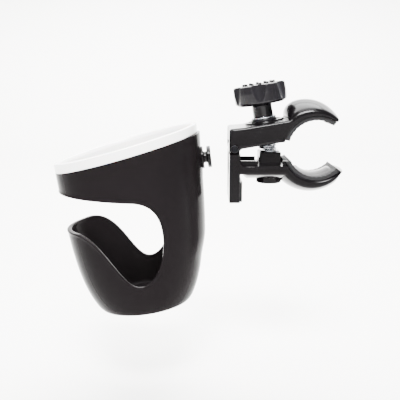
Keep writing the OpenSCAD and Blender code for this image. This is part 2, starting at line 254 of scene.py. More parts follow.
# --------------------------------------------------------------------- meshes
class Skin:
    """Collects grids of points and turns them into one closed, welded mesh."""

    def __init__(self, place: Place = OBJECT) -> None:
        """Starts an empty skin.

        Args:
            place: the sub-assembly's frame, in which the grids are given.
        """
        self.place = place
        self.points: list[np.ndarray] = []
        self.faces: list[Sequence[int]] = []

    def _take(self, p: np.ndarray) -> int:
        """Adds points and returns the number of the first."""
        self.points.append(p.reshape(-1, 3))
        return sum(map(len, self.points[:-1]))

    def grid(self, p: np.ndarray, wrap_u: bool = False, wrap_v: bool = False) -> "Skin":
        """Adds a grid of points as four-sided faces.

        Args:
            p: array of nu by nv points.
            wrap_u: whether the last row joins the first.
            wrap_v: whether the last column joins the first.

        Returns:
            The skin, so that calls can follow each other.
        """
        i = np.arange(p.shape[0] * p.shape[1]).reshape(p.shape[:2]) + self._take(p)
        i = np.vstack([i, i[:1]]) if wrap_u else i
        i = np.hstack([i, i[:, :1]]) if wrap_v else i
        q = np.stack([i[:-1, :-1], i[1:, :-1], i[1:, 1:], i[:-1, 1:]], -1).reshape(-1, 4)
        self.faces.extend(q.tolist())
        return self

    def cap(self, loop: np.ndarray) -> "Skin":
        """Closes a flat loop of points with one face.

        Args:
            loop: points of the loop, in order.

        Returns:
            The skin.
        """
        first = self._take(loop)
        self.faces.append(list(range(first, first + len(loop))))
        return self

    def tube(self, p: np.ndarray) -> "Skin":
        """Adds a grid that is closed round its rows, with a flat cap on its two ends."""
        return self.grid(p, wrap_u=True).cap(p[:, 0]).cap(p[:, -1])

    def turned(self, profile: np.ndarray, axis: Axis = Axis.Z, steps: int = 96,
               closed: bool = True) -> "Skin":
        """Adds a turned surface: a profile of radius and height carried round an axis.

        Args:
            profile: radius and height of each point.
            axis: the line it is turned about.
            steps: number of steps round.
            closed: whether the profile is a loop rather than a line from pole to pole.

        Returns:
            The skin.
        """
        p = polar(profile[:, 0], around(steps), profile[:, 1])
        return self.grid(p[..., list(axis.value)], wrap_u=True, wrap_v=closed)

    def block(self, outline: np.ndarray, half: float, corner: np.ndarray | float,
              crown: np.ndarray | float = 0.0, steps: int = 25,
              share: np.ndarray | float = 0.7) -> "Skin":
        """Adds a side outline carried across the width, with rounded rims and a crown.

        At a distance y from the middle each outline point moves along its normal by
        crown * (1 - (y / half)^2), less the drop of a quarter circle near the sides. The
        circle shrinks where the outline is thin, by no more than half a millimetre a
        millimetre of the way round.

        Args:
            outline: anticlockwise loop of x and z.
            half: half of the width.
            corner: largest radius of the rims at both sides, one number or one a point.
            crown: rise of the middle over the sides, one number or one a point.
            steps: number of rows across.
            share: the part of the room inside the outline that a rim may take.

        Returns:
            The skin.
        """
        least, slope, rows = 0.12, 0.5, 5
        n = side_normals(outline)
        gap = outline[:, None] - outline[None]
        far = np.linalg.norm(gap, axis=2)
        deep = (gap * n[:, None]).sum(2)
        room = np.where(deep > 1e-4, far ** 2 / np.maximum(2 * deep, 1e-9), np.inf).min(1)
        c = np.maximum(np.minimum(corner, share * room), least)
        c = (c[None] + slope * far).min(1)[:, None]
        bend = np.radians(np.linspace(0, 90, rows))
        rim = half - c * (1 - np.sin(bend))
        inner = rim[:, :1] * np.linspace(-1, 1, steps)[1:-1]
        y = np.hstack([-rim[:, ::-1], inner, rim])
        sink = c * (1 - np.cos(bend))
        drop = np.hstack([sink[:, ::-1], 0 * inner, sink])
        rise = (np.asarray(crown) * np.ones(len(outline)))[:, None] * (1 - (y / half) ** 2)
        flat = outline[:, None] + n[:, None] * (rise - drop)[..., None]
        return self.tube(np.stack([flat[..., 0], y, flat[..., 1]], -1))

    def mesh(self, name: str, weld: float = 1e-5, sharp: float = 38.0) -> bpy.types.Object:
        """Writes the mesh in metres, welds it, turns its faces outward and shades it.

        Args:
            name: name of the piece.
            weld: distance in metres within which points are one.
            sharp: angle in degrees from which an edge stays sharp.

        Returns:
            The new object, at the origin.
        """
        data = bpy.data.meshes.new(name)
        points = self.place(np.vstack(self.points)) * MM
        data.from_pydata(points.tolist(), [], self.faces)
        work = bmesh.new()
        work.from_mesh(data)
        bmesh.ops.remove_doubles(work, verts=work.verts, dist=weld)
        bmesh.ops.dissolve_degenerate(work, edges=work.edges, dist=weld / 2)
        bmesh.ops.recalc_face_normals(work, faces=work.faces)
        work.to_mesh(data)
        work.free()
        shade(data, sharp)
        piece = bpy.data.objects.new(name, data)
        bpy.context.scene.collection.objects.link(piece)
        return piece


def shade(data: bpy.types.Mesh, sharp: float) -> None:
    """Shades a mesh smooth, apart from its sharp edges and its flat, many-sided caps.

    Args:
        data: the mesh.
        sharp: angle in degrees from which an edge stays sharp.
    """
    most_sides = 4
    data.shade_smooth()
    data.set_sharp_from_angle(angle=math.radians(sharp))
    sides = np.zeros(len(data.polygons), np.int32)
    data.polygons.foreach_get("loop_total", sides)
    data.polygons.foreach_set("use_smooth", sides <= most_sides)


def heal(data: bpy.types.Mesh, reach: float = 5e-6) -> None:
    """Closes the hair cracks a cut can leave, by welding the points on open edges.

    Args:
        data: the mesh.
        reach: distance in metres within which such points are one.
    """
    work = bmesh.new()
    work.from_mesh(data)
    rim = {point for edge in work.edges if edge.is_boundary for point in edge.verts}
    bmesh.ops.remove_doubles(work, verts=sorted(rim, key=lambda point: point.index), dist=reach)
    work.to_mesh(data)
    work.free()


def cut(piece: bpy.types.Object, cutters: Iterable[bpy.types.Object],
        sharp: float = 38.0) -> bpy.types.Object:
    """Takes cutters out of a piece and removes them.

    Args:
        piece: the piece that is cut.
        cutters: closed pieces that lie where material goes.
        sharp: angle in degrees from which an edge stays sharp.

    Returns:
        The piece with its new mesh.
    """
    for cutter in cutters:
        step = piece.modifiers.new("cut", "BOOLEAN")
        step.operation, step.solver, step.object = "DIFFERENCE", "MANIFOLD", cutter
        fresh = bpy.data.meshes.new_from_object(
            piece.evaluated_get(bpy.context.evaluated_depsgraph_get()))
        piece.modifiers.clear()
        fresh.name, piece.data = piece.name, fresh
        bpy.data.objects.remove(cutter)
        heal(piece.data)
    shade(piece.data, sharp)
    return piece


def joined(piece: bpy.types.Object, parts: Sequence[bpy.types.Object],
           sharp: float = 40.0) -> bpy.types.Object:
    """Moves the faces of other meshes into a piece and removes their objects.

    Args:
        piece: the piece that takes the faces.
        parts: the meshes that are moved.
        sharp: angle in degrees from which an edge stays sharp.

    Returns:
        The piece with its new mesh.
    """
    work = bmesh.new()
    for part in (piece, *parts):
        work.from_mesh(part.data)
    work.to_mesh(piece.data)
    work.free()
    for part in parts:
        bpy.data.objects.remove(part)
    shade(piece.data, sharp)
    return piece


def rod(x: float, y: float, z: float, r: float, length: float, axis: Axis = Axis.X,
        place: Place = OBJECT, steps: int = 64) -> bpy.types.Object:
    """A closed round rod for cutting.

    Args:
        x: start along X.
        y: start along Y.
        z: start along Z.
        r: radius.
        length: length.
        axis: the axis it runs along from its start.
        place: the frame it lies in.
        steps: number of steps round.

    Returns:
        The rod.
    """
    skin = Skin(place)
    skin.turned(np.array([[0, 0], [r, 0], [r, length], [0, length]], float), axis,
                closed=False, steps=steps)
    skin.points = [p + np.array([x, y, z]) for p in skin.points]
    return skin.mesh("cutter")


def brick(x: Sequence[float], y: Sequence[float], z: Sequence[float]) -> bpy.types.Object:
    """A closed box for cutting.

    Args:
        x: its two ends along X.
        y: its two ends along Y.
        z: its two ends along Z.

    Returns:
        The box.
    """
    loop = np.array([[x[0], z[0]], [x[1], z[0]], [x[1], z[1]], [x[0], z[1]]], float)
    p = np.stack([np.stack([loop[:, 0], np.full(4, v), loop[:, 1]], 1) for v in y], 1)
    return Skin().tube(p).mesh("cutter")


def slot(x: float, low: float, high: float, r: float, depth: float) -> bpy.types.Object:
    """A closed upright slot through X, two half circles and the sides between, for cutting.

    Args:
        x: start along X.
        low: height of the lower half circle's centre.
        high: height of the upper one's.
        r: radius of both.
        depth: length along X.

    Returns:
        The slot.
    """
    a = np.radians(np.linspace(0, 180, 25))
    loop = np.vstack([np.stack([r * np.cos(a), high + r * np.sin(a)], 1),
                      np.stack([-r * np.cos(a), low - r * np.sin(a)], 1)])
    p = np.stack([np.stack([np.full(len(loop), v), loop[:, 0], loop[:, 1]], 1)
                  for v in (x, x + depth)], 1)
    return Skin().tube(p).mesh("cutter")


# ------------------------------------------------------------------ materials
def add(tree: bpy.types.NodeTree, kind: str, links: dict | None = None,
        values: dict | None = None, **settings: object) -> bpy.types.Node:
    """Adds a node with its settings, values and links.

    Args:
        tree: the node tree.
        kind: type name of the node.
        links: input name or number to the output socket that feeds it.
        values: input name or number to its own value.
        **settings: properties of the node.

    Returns:
        The new node.
    """
    node = tree.nodes.new(kind)
    for key, value in settings.items():
        setattr(node, key, value)
    for key, value in (values or {}).items():
        node.inputs[key].default_value = value
    for key, source in (links or {}).items():
        tree.links.new(source, node.inputs[key])
    return node


@dataclass(frozen=True)
class Finish:
    """How a moulded or turned surface looks.

    Attributes:
        name: the material's common name and how it was made.
        dark: sRGB value of its darker patches.
        light: sRGB value of its lighter patches.
        patch: size in mm of the patches of colour.
        roughness: lowest and highest roughness.
        metal: metallic value.
        ior: index of refraction of a plastic.
        specular: strength of the specular reflection, 0.5 as the index gives it.
        grain: size in mm of the surface's grain, coarser than the real one, so that it shows.
        depth: depth in mm of the grain.
        wave: spacing in mm and depth in mm of long shallow waves, as a mould leaves.
        scuff: sRGB value of fine rubbed streaks, or an empty string for none.
        streak: how many times a streak is stretched along X, Y and Z.
        glow: weight of light scattered under the surface.
    """

    name: str
    dark: str
    light: str
    patch: float = 9.0
    roughness: tuple[float, float] = (0.3, 0.4)
    metal: float = 0.0
    ior: float = 1.5
    specular: float = 0.5
    grain: float = 0.9
    depth: float = 0.006
    wave: tuple[float, float] = (14.0, 0.02)
    scuff: str = ""
    streak: tuple[float, float, float] = (1.0, 1.0, 6.0)
    glow: float = 0.0

    def material(self) -> bpy.types.Material:
        """Builds the node material, with every pattern's scale worked out from mm.

        Returns:
            The material.
        """
        smear_mm, scratch_mm, glow_mm = 5.5, 1.1, 1.2
        mat = bpy.data.materials.new(self.name)
        mat.use_nodes = True
        tree = mat.node_tree
        tree.nodes.clear()
        where = add(tree, "ShaderNodeTexCoord").outputs["Object"]
        # a noise for each use: its size in mm, its octaves and the share that each keeps
        noise = {use: add(tree, "ShaderNodeTexNoise", {"Vector": where},
                          {"Scale": 1 / (size * MM), "Detail": octaves, "Roughness": kept}
                          ).outputs["Fac"]
                 for use, size, octaves, kept in (
                     ("patch", self.patch, 4.0, 0.55), ("smear", smear_mm, 5.0, 0.6),
                     ("grain", self.grain, 2.0, 0.5), ("wave", self.wave[0], 1.0, 0.5))}
        paint = add(tree, "ShaderNodeMix", {"Factor": noise["patch"]},
                    {6: linear(self.dark), 7: linear(self.light)}, data_type="RGBA").outputs[2]
        if self.scuff:
            drawn = add(tree, "ShaderNodeMapping", {"Vector": where},
                        {"Scale": tuple(1 / s for s in self.streak)})
            lines = add(tree, "ShaderNodeTexNoise", {"Vector": drawn.outputs[0]},
                        {"Scale": 1 / (scratch_mm * MM), "Detail": 3.0, "Roughness": 0.7})
            rare = add(tree, "ShaderNodeMapRange", {"Value": lines.outputs["Fac"]},
                       {"From Min": 0.64, "From Max": 0.8, "To Max": 0.6})
            paint = add(tree, "ShaderNodeMix", {"Factor": rare.outputs[0], 6: paint},
                        {7: linear(self.scuff)}, data_type="RGBA").outputs[2]
        rough = add(tree, "ShaderNodeMapRange", {"Value": noise["smear"]},
                    {"From Min": 0.3, "From Max": 0.7, "To Min": self.roughness[0],
                     "To Max": self.roughness[1]})
        fine = add(tree, "ShaderNodeBump", {"Height": noise["grain"]},
                   {"Strength": 1.0, "Distance": self.depth * MM})
        broad = add(tree, "ShaderNodeBump", {"Height": noise["wave"], "Normal": fine.outputs[0]},
                    {"Strength": 1.0, "Distance": self.wave[1] * MM})
        body = {"Metallic": self.metal}
        if not self.metal:
            body |= {"IOR": self.ior, "Specular IOR Level": self.specular}
        if self.glow:
            body |= {"Subsurface Weight": self.glow, "Subsurface Scale": glow_mm * MM}
        shader = add(tree, "ShaderNodeBsdfPrincipled",
                     {"Base Color": paint, "Roughness": rough.outputs[0],
                      "Normal": broad.outputs[0]}, body)
        add(tree, "ShaderNodeOutputMaterial", {"Surface": shader.outputs[0]})
        return mat


class Finishes(Enum):
    """The finishes of this object's pieces."""

    # Injection-moulded ABS from a polished tool: near black, a thin sheen on lips and flanks
    CUP = Finish("black_abs_moulded", "#0e0c0d", "#110f10", patch=30, roughness=(0.15, 0.19),
                 specular=0.01, grain=0.8, depth=0.0012, wave=(30, 0.012))
    # Polypropylene with titanium white: bright, waxy gloss with a little light inside it
    RING = Finish("white_polypropylene_moulded", "#f7f5f3", "#fcfbfa", patch=16,
                  roughness=(0.14, 0.22), ior=1.49, grain=1.2, depth=0.002, wave=(18, 0.03),
                  glow=0.12)
    # Glass-filled nylon from a polished tool: black, harder gloss, faint fibre haze
    JAW = Finish("black_nylon_moulded", "#050405", "#070607", patch=16, roughness=(0.15, 0.2),
                 specular=0.1, grain=0.7, depth=0.0015, wave=(16, 0.012), scuff="#17161a",
                 streak=(6, 1, 1))
    # Thermoplastic rubber, moulded matt: hardly any highlight, fine pebbled grain
    RUBBER = Finish("black_rubber_moulded", "#0c0c0d", "#131214", patch=6,
                    roughness=(0.62, 0.76), specular=0.22, grain=0.6, depth=0.012,
                    wave=(9, 0.01))
    # Acetal from a polished tool: the knob's deep black with a tight highlight
    KNOB = Finish("black_acetal_moulded", "#0f0e10", "#121114", patch=12,
                  roughness=(0.12, 0.17), specular=0.17, grain=0.8, depth=0.0015,
                  wave=(12, 0.012), scuff="#1b1a1e", streak=(1, 1, 4))
    # Zinc-plated steel, rolled thread: bluish white with bright crests
    ZINC = Finish("steel_zinc_plated", "#9fa3a8", "#c9ccd0", patch=2.5,
                  roughness=(0.16, 0.3), metal=1.0, grain=0.5, depth=0.004, wave=(4, 0.01))
    # Spring wire, cold drawn: grey with a fine, uneven shine
    WIRE = Finish("steel_wire_drawn", "#8b8d92", "#b9bbc0", patch=1.5, roughness=(0.2, 0.34),
                  metal=1.0, grain=0.3, depth=0.005, wave=(3, 0.01))
    # Steel pin, turned and chemically blackened: dark with a dull sheen
    BLACKED = Finish("steel_blackened", "#121214", "#1b1b1d", patch=2, roughness=(0.34, 0.44),
                     metal=1.0, grain=0.4, depth=0.004, wave=(3, 0.008))
    # Stainless stop ring and nut, turned: bright, slightly uneven grey
    TURNED = Finish("steel_turned", "#7f8286", "#a9abaf", patch=2, roughness=(0.24, 0.36),
                    metal=1.0, grain=0.4, depth=0.006, wave=(3, 0.01))


class Dresser:
    """Makes each finish once and puts it on pieces."""

    def __init__(self) -> None:
        """Starts with no material made."""
        self.made: dict[Finishes, bpy.types.Material] = {}

    def dress(self, piece: bpy.types.Object, finish: Finishes) -> None:
        """Gives every face of a piece one finish.

        Args:
            piece: the piece.
            finish: its finish.
        """
        if finish not in self.made:
            self.made[finish] = finish.value.material()
        piece.data.materials.clear()
        piece.data.materials.append(self.made[finish])


@dataclass
class Assembly:
    """What every sub-assembly shares: a way to place, dress and report a piece.

    Attributes:
        dresser: the maker of materials.
    """

    dresser: Dresser

    def fit(self, piece: bpy.types.Object, body: str, node: str, finish: Finishes) -> None:
        """Rides a new piece on its body in place of a CAD node, and dresses it.

        Args:
            piece: the new piece.
            body: name of the CAD body.
            node: name of the CAD node that it stands for.
            finish: its finish.
        """
        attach(piece, body)
        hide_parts(node)
        self.dresser.dress(piece, finish)
        log.info("%s: %d faces on %s", piece.name, len(piece.data.polygons), body)

    def keep(self, node: str, finish: Finishes) -> None:
        """Keeps a CAD node's shape and gives it a finish."""
        self.dresser.dress(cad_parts[node], finish)
        log.info("%s: CAD shape kept", node)


# ------------------------------------------------------------------------ cup
# side view of the window, from its front lower end to its front upper end: the four points
# of each cubic curve and how many points are taken on it
WINDOW = (
    ((-60, 56.8), (-52, 56.8), (-45, 56.5), (-37, 56.4), 900),
    ((-37, 56.4), (-16, 58), (-10, 21), (2.5, 21), 1200),
    ((2.5, 21), (9.5, 21), (17, 30), (19.4, 46), 900),
    ((19.4, 46), (20.3, 56), (20.6, 72.3), (3, 74.6), 1200),
    ((3, 74.6), (-12, 77), (-30, 79.8), (-60, 82.4), 1800))
# x and z of the points on the window's edge that face the valley, the bottom's corner, the
# tip, the rim's corner and the band's start, and whether each lies on the lower half
KEYS = ((-6, 26, True), (11.5, 29, True), (20.4, 59, True), (14, 71.8, False),
        (0, 75.2, False))
HALFWAY_Z = 60


@dataclass
class CupSide(Assembly):
    """The shell with its window, the white ring and the stud, in the cup's own frame.

    Angles are in radians from the back, where the stud is.
    """

    side_r: float = 43.1
    flare: float = 0.036
    tuck: float = 12.9
    tuck_h: float = 21.0
    wall: float = 2.6
    rim_z: float = 100.6
    rim_slope: float = 9.2
    base_t: float = 3.0
    foot_z: float = 3.0
    floor_z: float = 8.0
    # the proud back, the flat pad under the stud and the nut's recess inside
    spine_out: float = 1.8
    spine_half: float = 24.0
    spine_soft: float = 3.2
    spine_low: float = 26.0
    spine_run: float = 18.0
    stud_z: float = 91.4
    sunk: float = 0.1
    pad_r: float = 11.5
    pad_soft: float = 3.4
    recess_r: float = 6.3
    recess_soft: float = 0.7
    # the window's rounded edge and the beads along it
    edge: float = 0.75
    bead_out: float = 0.3
    bead_in: float = 0.25
    ring_h: float = 6.0
    columns: int = 250
    rows: int = 30

    def plain(self, z: np.ndarray | float) -> np.ndarray:
        """Radius of the wall without its proud back: a cone less a fading tuck."""
        return self.side_r + self.flare * z - self.tuck * np.exp(-z / self.tuck_h)

    @property
    def spine_x(self) -> float:
        """Distance from the axis to the face that carries the stud."""
        return float(self.plain(self.stud_z)) + self.spine_out

    def outer(self, a: np.ndarray, z: np.ndarray) -> np.ndarray:
        """Outside radius: the plain wall, the proud back and a flat pad under the stud.

        Args:
            a: angle of each point.
            z: height above the bottom.

        Returns:
            Radius for each point.
        """
        r = self.plain(z)
        y = np.abs(r * np.sin(a))
        back = np.cos(a) > 0
        proud = (ease((self.spine_half - y) / self.spine_soft)
                 * ease((z - self.spine_low) / self.spine_run))
        r = r + self.spine_out * proud * back
        near = np.hypot(y, z - self.stud_z)
        flat = (self.spine_x - self.sunk) / np.maximum(np.cos(a), 0.3)
        return r + (flat - r) * ease((self.pad_r - near) / self.pad_soft) * back

    def inner(self, a: np.ndarray, z: np.ndarray) -> np.ndarray:
        """Inside radius: a wall's thickness in, with the nut's round recess.

        Args:
            a: angle of each point.
            z: height above the bottom.

        Returns:
            Radius for each point.
        """
        r = self.plain(z) - self.wall
        near = np.hypot(r * np.sin(a), z - self.stud_z)
        hollow = ease((self.recess_r - near) / self.recess_soft) * (np.cos(a) > 0)
        return r + self.spine_out * hollow

    def rim(self, a: np.ndarray) -> np.ndarray:
        """Height of the sloping rim plane where it meets the wall, found in four rounds.

        Args:
            a: angle of each point.

        Returns:
            Height for each point.
        """
        z = np.full(np.shape(a), self.rim_z)
        for _ in range(4):
            z = self.rim_z + np.tan(np.radians(self.rim_slope)) * np.cos(a) * self.plain(z)
        return z

    def strip(self) -> tuple[np.ndarray, np.ndarray, list[int]]:
        """Points of the window's edge on the outside, spaced evenly along the wall.

        Returns:
            Angle and height of each point, and the numbers of the points in KEYS.
        """
        x, z = np.vstack([bezier(*curve) for curve in WINDOW]).T
        on = x > -self.plain(z)
        x, z = x[on], z[on]
        a = np.arccos(np.clip(x / self.plain(z), -1, 1))
        a = np.concatenate([[math.pi], a, [math.pi]])
        z = np.concatenate([z[:1], z, z[-1:]])
        even = resample(np.stack([a * self.side_r, z], 1), self.columns)
        a, z = even[:, 0] / self.side_r, even[:, 1]
        x = self.plain(z) * np.cos(a)
        other = 1e3  # keeps a key point off the window's other half
        keys = [int(np.argmin(np.hypot(x - kx, z - kz) + other * ((z < HALFWAY_Z) != low)))
                for kx, kz, low in KEYS]
        return a, z, keys

    def sheet(self, a: np.ndarray, z: np.ndarray, keys: list[int], low: float,
              radius: Callable[[np.ndarray, np.ndarray], np.ndarray],
              bead: float) -> tuple[np.ndarray, np.ndarray]:
        """One face of the wall: curves that leave the window square to its edge.

        Each curve is a cubic from the edge to the matching point of the line that runs along
        the bottom, up the back and along the rim. It is worked out on the unrolled wall.

        Args:
            a: angles of the window's edge.
            z: heights of the window's edge.
            keys: numbers of the edge's key points.
            low: height of the lower line.
            radius: radius of this face for an angle and a height.
            bead: how far the lip swells within two millimetres of the edge.

        Returns:
            Grid of points from edge to outer line, and the angles of the outer line.
        """
        valley_lead, band_lag = 6, 2            # how far two key points' goals are moved
        pull, longest, crowding = 0.3, 8, 1.7   # handles' share and limit, rows near the edge
        lip, lip_run = 0.4, 2.0
        flat = np.stack([a * self.side_r, z], 1)
        top = float(self.rim(np.array([0.0]))[0])
        half = math.pi * self.side_r
        height = top - low
        goal = [0, half - flat[keys[0], 0] - valley_lead, half, half + flat[keys[2], 1] - low,
                half + height, half + height + flat[keys[4], 0] + band_lag, 2 * half + height]
        at = np.interp(np.arange(len(a)), [0, *keys, len(a) - 1], goal)
        s = np.where(at < half, half - at, np.where(at < half + height, 0, at - half - height))
        end_z = np.where(at < half, low, np.where(
            at < half + height, low + at - half, self.rim(s / self.side_r)))
        end = np.stack([s, end_z], 1)
        # the wall lies to the right of the edge's run, away from the window
        n = -side_normals(flat, closed=False)
        n[[0, -1]] = [[0, -1], [0, 1]]
        start = flat + n * self.edge
        span = np.linalg.norm(end - start, axis=1)[:, None]
        t = (np.linspace(0, 1, self.rows) ** crowding)[None, :, None]
        p1 = start + n * np.minimum(longest, pull * span)
        p2 = end + (start - end) * pull
        q = ((1 - t) ** 3 * start[:, None] + 3 * (1 - t) ** 2 * t * p1[:, None]
             + 3 * (1 - t) * t ** 2 * p2[:, None] + t ** 3 * end[:, None])
        ang, hgt = q[..., 0] / self.side_r, q[..., 1]
        away = np.linalg.norm(q - flat[:, None], axis=2)
        r = radius(ang, hgt) + bead * (1 - ease((away - lip) / lip_run))
        return polar(r, ang, hgt), end[:, 0] / self.side_r

    def shell(self) -> bpy.types.Object:
        """The shell: outer face, inner face, rounded window edge, rim, base and floor.

        Returns:
            The closed piece.
        """
        front, front_run = 1.9, 0.8  # angle from which both faces' edges line up, and how soon
        a, z, keys = self.strip()
        x = self.plain(z) * np.cos(a)
        a_in = np.arccos(np.clip(x / (self.plain(z) - self.wall), -1, 1))
        a_in = a_in + (a - a_in) * ease((a - front) / front_run)
        out, out_end = self.sheet(a, z, keys, self.foot_z, self.outer, self.bead_out)
        ins, in_end = self.sheet(a_in, z, keys, self.floor_z, self.inner, -self.bead_in)
        # window edge: a round at each face and the land between them
        c_out = polar(self.plain(z) + self.bead_out, a, z)
        c_in = polar(self.plain(z) - self.wall - self.bead_in, a_in, z)
        way = (c_in - c_out) / np.linalg.norm(c_in - c_out, axis=1, keepdims=True)
        t = np.linspace(0, 1, 6)[None, :, None]

        def round_off(p: np.ndarray, c: np.ndarray, q: np.ndarray) -> np.ndarray:
            """Quadratic curve from p to q with its corner at c, for every column."""
            return ((1 - t) ** 2 * p[:, None] + 2 * (1 - t) * t * c[:, None]
                    + t ** 2 * q[:, None])

        lip = np.concatenate([round_off(out[:, 0], c_out, c_out + way * self.edge),
                              round_off(c_in - way * self.edge, c_in, ins[:, 0])], 1)
        base, top = slice(0, keys[1] + 1), slice(keys[3], None)
        across = np.linspace(0, 1, 4)[None, :, None]
        rim = out[top, -1][:, None] * (1 - across) + ins[top, -1][:, None] * across
        r_foot = float(self.plain(self.foot_z))
        r_floor = float(self.plain(self.floor_z)) - self.wall
        # foot: rounded corner, narrow ring to stand on, and a panel set in a little
        foot = filleted([(r_foot, self.foot_z, 0), (r_foot - 2.3, 0, 2.4),
                         (r_foot - 5.0, 0, 0.5), (r_foot - 5.8, 0.8, 0.5), (14, 0.8, 0),
                         (13.4, 0.5, 0), (0, 0.5, 0)], closed=False, steps=6)
        floor = filleted([(r_floor, self.floor_z, 0), (r_floor - 2.4, self.base_t, 4.0),
                          (16, self.base_t, 0), (0, self.base_t, 0)], closed=False, steps=8)
        patches = (out, ins, lip, rim, polar(foot[:, 0], out_end[base, None], foot[:, 1]),
                   polar(floor[:, 0], in_end[base, None], floor[:, 1]))
        skin = Skin(CUP)
        for side in (1, -1):
            for patch in patches:
                skin.grid(patch * np.array([1, side, 1]))
        return skin.mesh("cup_shell_moulded", weld=2e-5, sharp=50)

    def ring(self) -> bpy.types.Object:
        """The white ring: a section that follows the wall, carried round the sloping rim.

        Returns:
            The closed piece.
        """
        # steps out from the wall's face, heights over the rim plane, and roundings
        section = filleted([
            (-0.15, 0.04, 0.3), (-0.02, 0.7, 0.4), (-0.02, self.ring_h - 1.9, 0.5),
            (-0.02, self.ring_h, 1.7), (-3.6, self.ring_h, 1.6), (-4.4, self.ring_h - 2.6, 1.5),
            (-4.4, -9.9, 0.6), (-2.9, -9.9, 0.8), (-2.62, -6.0, 0.5), (-2.62, 0.04, 0.1)],
            steps=6)
        # long straight stretches get points of their own, so the section keeps its curve
        s = along(section, closed=True)
        loop = np.vstack([section, section[:1]])
        even = np.unique(np.concatenate([s[:-1], np.arange(0, s[-1], 1.0)]))
        out, up = (np.interp(even, s, loop[:, k]) for k in (0, 1))
        a = around(240)
        r = self.plain(self.rim(a) + up) + out
        # the plane is met at the section's own radius
        z = self.rim_z + np.tan(np.radians(self.rim_slope)) * r * np.cos(a) + up
        skin = Skin(CUP).grid(polar(self.plain(z) + out, a, z), wrap_u=True, wrap_v=True)
        return skin.mesh("rim_ring_moulded", sharp=60)

    def stud(self) -> bpy.types.Object:
        """The spool: flange, waist and head, turned about the cup's X axis.

        Returns:
            The closed piece.
        """
        x = self.spine_x - self.sunk
        profile = filleted([
            (2.05, x + 0.01, 0), (7.2, x + 0.01, 0.25), (7.2, x + 1.3, 0.4), (4.2, x + 1.3, 0.1),
            (3.6, x + 1.7, 0.4), (3.6, x + 3.3, 0.3), (6.3, x + 3.6, 0.1), (7.0, x + 3.9, 0.35),
            (7.0, x + 6.1, 0.5), (5.2, x + 6.1, 0.3), (4.7, x + 5.85, 0.3), (3.65, x + 5.85, 0.2),
            (3.65, x + 4.5, 0), (2.05, x + 4.5, 0)], steps=4)
        skin = Skin(Place(CUP.at, CUP.degrees, (0, 0, self.stud_z)))
        return skin.turned(profile, Axis.X, steps=80).mesh("stud_spool", sharp=45)

    def build(self) -> None:
        """Builds and dresses the cup's pieces."""
        self.fit(self.shell(), "cup", "cup_shell", Finishes.CUP)
        self.fit(self.ring(), "cup", "rim_ring", Finishes.RING)
        self.fit(self.stud(), "hook_stud", "stud", Finishes.JAW)
        for node in ("stud_screw", "stud_washer", "stud_nut"):
            self.keep(node, Finishes.ZINC)


# ---------------------------------------------------------------------- clamp
def leaning(points: Iterable[Sequence[float]]) -> np.ndarray:
    """Carries x and z of points from the hinge's frame into the object's."""
    return HINGE(np.insert(np.array(points, float), 1, 0.0, axis=1))[:, [0, 2]]


def tip_of(degrees: float, centre: np.ndarray, r: float) -> np.ndarray:
    """The point in a direction from the bar's axis where a jaw's outer circle is met.

    Args:
        degrees: the direction.
        centre: centre of the circle.
        r: radius of the circle.

    Returns:
        The nearest of 4000 points that lie 20 to 30 mm from the axis.
    """
    a = math.radians(degrees)
    reach = np.linspace(20, 30, 4000)[:, None] * [math.cos(a), math.sin(a)]
    return reach[np.argmin(np.abs(np.hypot(*(reach - centre).T) - r))]


